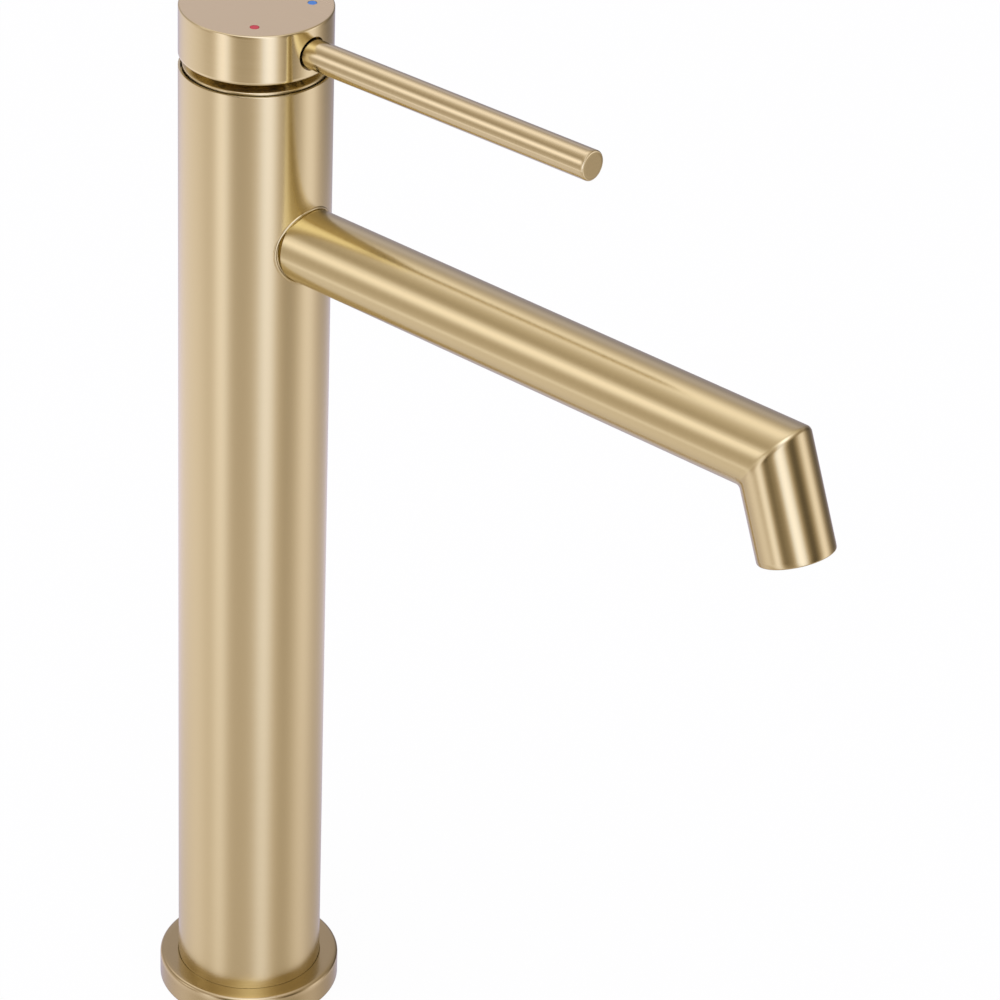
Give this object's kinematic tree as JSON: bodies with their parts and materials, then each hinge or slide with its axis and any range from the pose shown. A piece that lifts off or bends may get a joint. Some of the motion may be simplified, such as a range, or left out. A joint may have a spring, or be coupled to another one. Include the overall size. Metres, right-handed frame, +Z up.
{
  "type": "bathroom mixer faucet",
  "caption": "Tall brushed-brass basin mixer: round column on a base ring, mitred straight spout, cap handle with a pin lever that lifts for flow and turns for temperature.",
  "frame": {"origin": "on the deck plane under the base ring, at the column's axis", "axes": "+Z up along the column, -Y towards the user along the spout and the lever, +X to the user's right (cold side)"},
  "size_m": [0.0504, 0.2169, 0.3019],
  "materials": {
    "brushed_brass": "brushed, satin",
    "raw_brass": "machined",
    "copper_tube": "drawn tube",
    "steel": "machined",
    "rubber": "matte",
    "white_plastic": "moulded",
    "grey_plastic": "moulded",
    "ceramic": null,
    "hot_red": "enamel",
    "cold_blue": "enamel"
  },
  "bodies": {
    "fixed_body": {"column": "brushed_brass", "base_ring": "brushed_brass", "base_gasket": "rubber", "base_insert": "raw_brass", "hot_supply_tube": "copper_tube", "cold_supply_tube": "copper_tube", "valve_body": "raw_brass", "spout_tube": "brushed_brass", "spout_outlet": "brushed_brass", "spout_seal": "rubber", "aerator_housing": "raw_brass", "aerator_core": "white_plastic", "aerator_seal": "rubber", "cartridge_housing": "white_plastic", "cartridge_port_base": "grey_plastic", "cartridge_port_seals": "rubber", "fixed_disc": "ceramic", "retaining_nut": "raw_brass", "cartridge_shroud": "brushed_brass"},
    "handle": {"spindle": "raw_brass", "handle_cap": "brushed_brass", "lever_rod": "brushed_brass", "handle_set_screw": "steel", "hot_index": "hot_red", "cold_index": "cold_blue"},
    "turning_guide": {"spindle_guide": "grey_plastic", "pivot_pin": "steel"},
    "sliding_disc": {"disc_carrier": "white_plastic", "moving_disc": "ceramic"}
  },
  "joints": [
    {"name": "temperature_turn", "type": "hinge", "parent": "fixed_body", "child": "turning_guide", "pos_m": [0, 0, 0.27], "axis": [0, 0, 1], "range_deg": [-45, 45]},
    {"name": "flow_lift", "type": "hinge", "parent": "turning_guide", "child": "handle", "pos_m": [0, 0, 0.27], "axis": [-1, 0, 0], "range_deg": [0, 20]},
    {"name": "disc_slide", "type": "slide", "parent": "turning_guide", "child": "sliding_disc", "axis": [0, -1, 0], "range_m": [0, 0.0028]}
  ],
  "couplings": [
    {"joint": "disc_slide", "follows": "flow_lift", "m_per_rad": 0.008}
  ]
}
